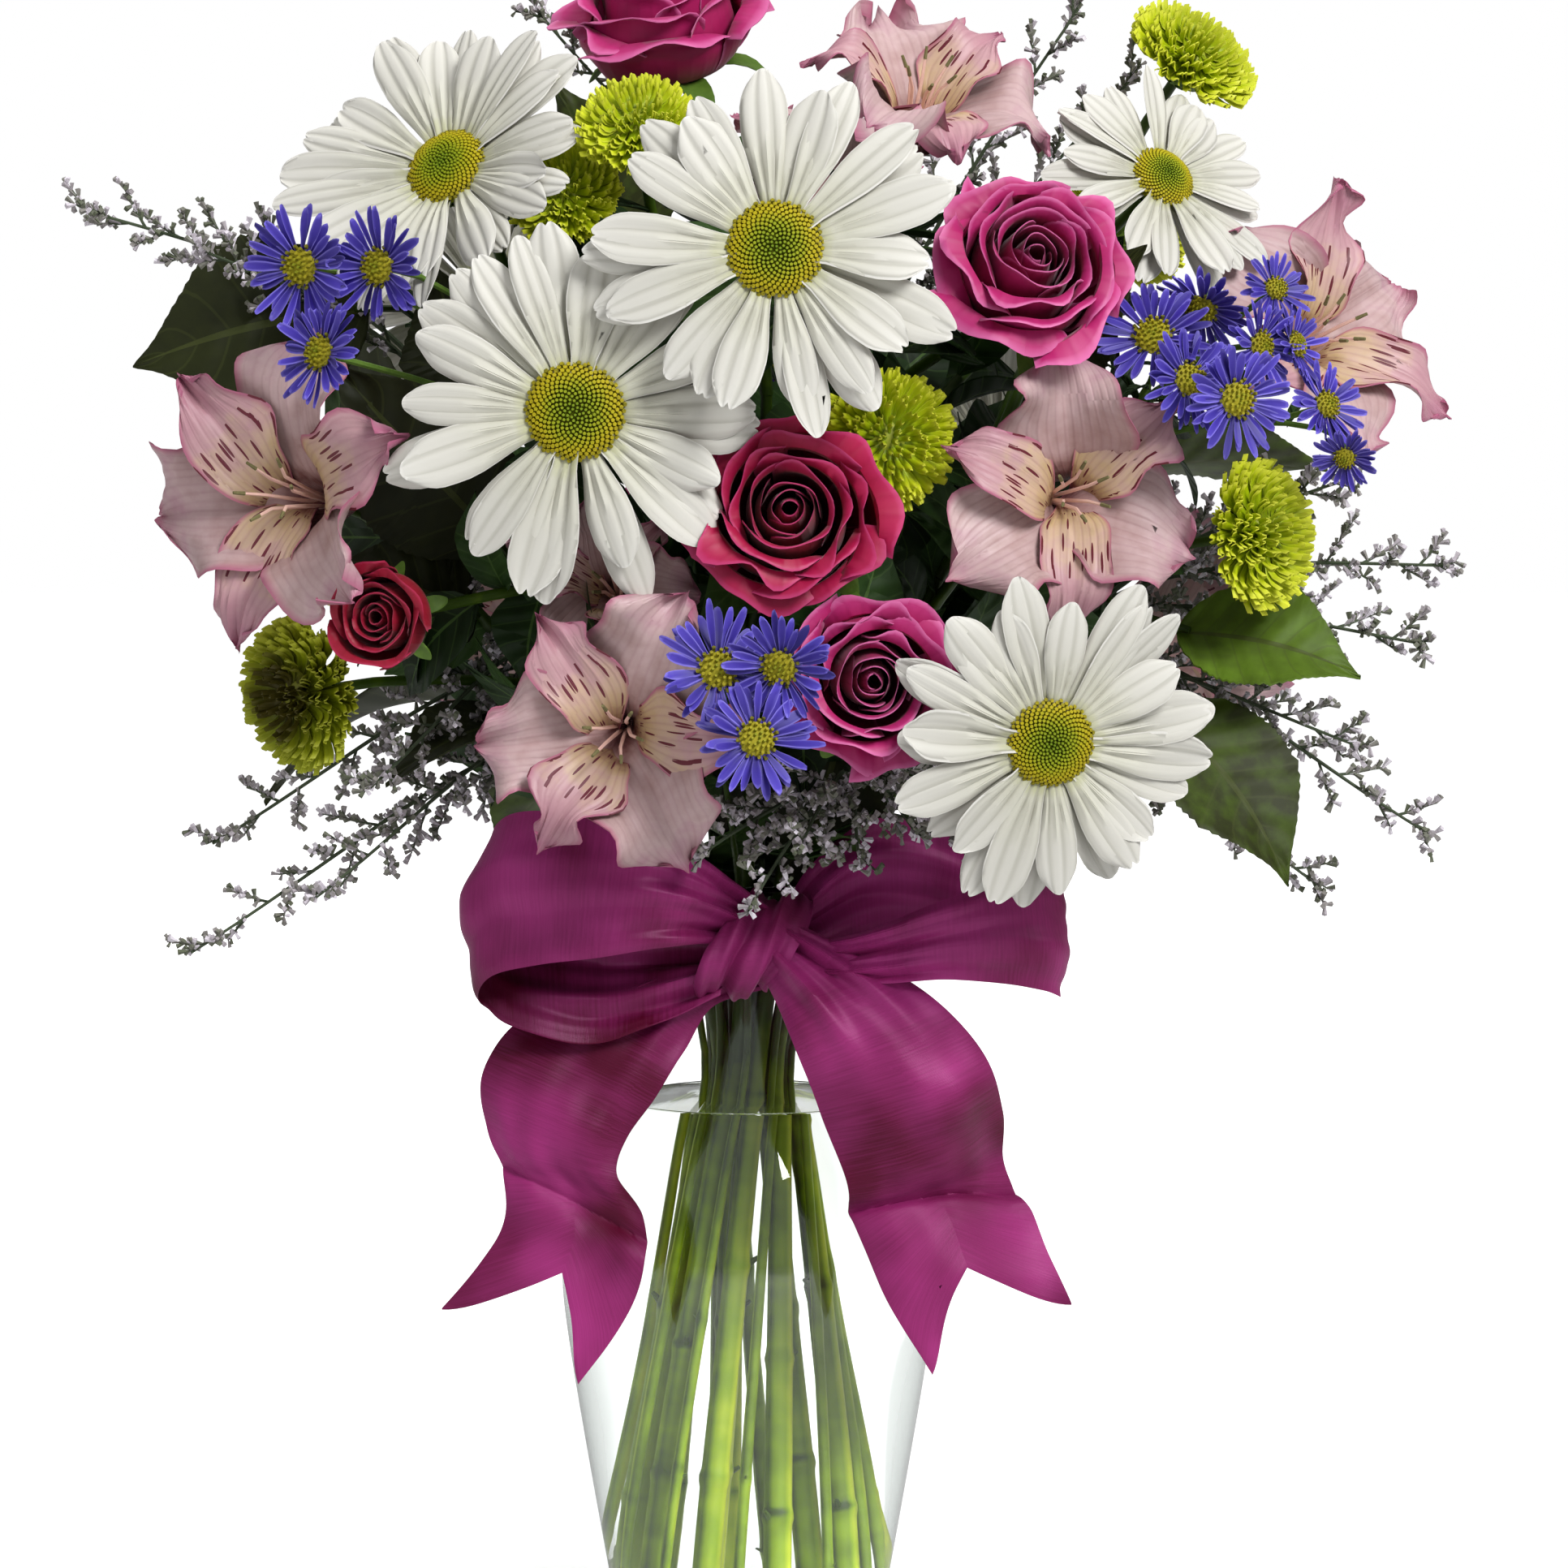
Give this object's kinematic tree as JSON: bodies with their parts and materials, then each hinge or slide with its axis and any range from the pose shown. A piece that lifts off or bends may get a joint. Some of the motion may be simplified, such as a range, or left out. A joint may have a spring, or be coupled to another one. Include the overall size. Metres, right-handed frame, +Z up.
{
  "type": "mixed flower bouquet in a vase",
  "caption": "Round mixed bouquet of daisies, roses, button mums, alstroemeria and asters, standing in water in a clear glass vase tied with a ribbon bow.",
  "frame": {"origin": "centre of the vase's flat underside", "axes": "+Z up along the vase's axis, -Y towards the front of the bow, +X to the right seen from the front"},
  "size_m": [0.3014, 0.216, 0.3784],
  "materials": {
    "clear_glass": "polished clear glass",
    "water": "clear still water",
    "ribbon": "plum taffeta with a soft sheen",
    "daisy_petals": "matt white petals round a yellow-green disc",
    "rose_petals": "velvety magenta petals",
    "mum_petals": "lime-green florets",
    "alstroemeria_petals": "pale pink petals with mauve edges",
    "aster": "violet-blue rays, olive-yellow centres",
    "caspia": "dry grey-violet florets on wiry stems",
    "leaf": "dark green leaf with a waxy sheen",
    "green_stem": "smooth fresh green stem"
  },
  "bodies": {
    "root": {"alstroemeria_back_left": "alstroemeria_petals", "alstroemeria_back_right": "alstroemeria_petals", "alstroemeria_back_top": "alstroemeria_petals", "alstroemeria_far_right": "alstroemeria_petals", "alstroemeria_left": "alstroemeria_petals", "alstroemeria_low_left": "alstroemeria_petals", "alstroemeria_mid_left": "alstroemeria_petals", "alstroemeria_right": "alstroemeria_petals", "alstroemeria_stem_back": "green_stem", "alstroemeria_stem_left": "green_stem", "alstroemeria_stem_right": "green_stem", "alstroemeria_top": "alstroemeria_petals", "aster_spray_back": "aster", "aster_spray_centre": "aster", "aster_spray_left": "aster", "aster_spray_right": "aster", "caspia_spray_back": "caspia", "caspia_spray_front": "caspia", "caspia_spray_left": "caspia", "caspia_spray_right": "caspia", "daisy_back_left": "daisy_petals", "daisy_back_right": "daisy_petals", "daisy_left_centre": "daisy_petals", "daisy_low_right": "daisy_petals", "daisy_stem_left": "green_stem", "daisy_stem_right": "green_stem", "daisy_top_centre": "daisy_petals", "daisy_top_left": "daisy_petals", "daisy_top_right": "daisy_petals", "leaf_branch_back": "leaf", "leaf_branch_left": "leaf", "leaf_branch_right": "leaf", "mum_back_left": "mum_petals", "mum_back_right": "mum_petals", "mum_centre": "mum_petals", "mum_left": "mum_petals", "mum_right": "mum_petals", "mum_stem_left": "green_stem", "mum_stem_right": "green_stem", "mum_top": "mum_petals", "mum_top_right": "mum_petals", "mum_upper_left": "mum_petals", "ribbon_bow": "ribbon", "rose_back": "rose_petals", "rose_bud": "rose_petals", "rose_centre": "rose_petals", "rose_lower": "rose_petals", "rose_stem_front": "green_stem", "rose_stem_top": "green_stem", "rose_top": "rose_petals", "rose_upper_right": "rose_petals", "vase": "clear_glass", "water": "water"}
  },
  "joints": []
}
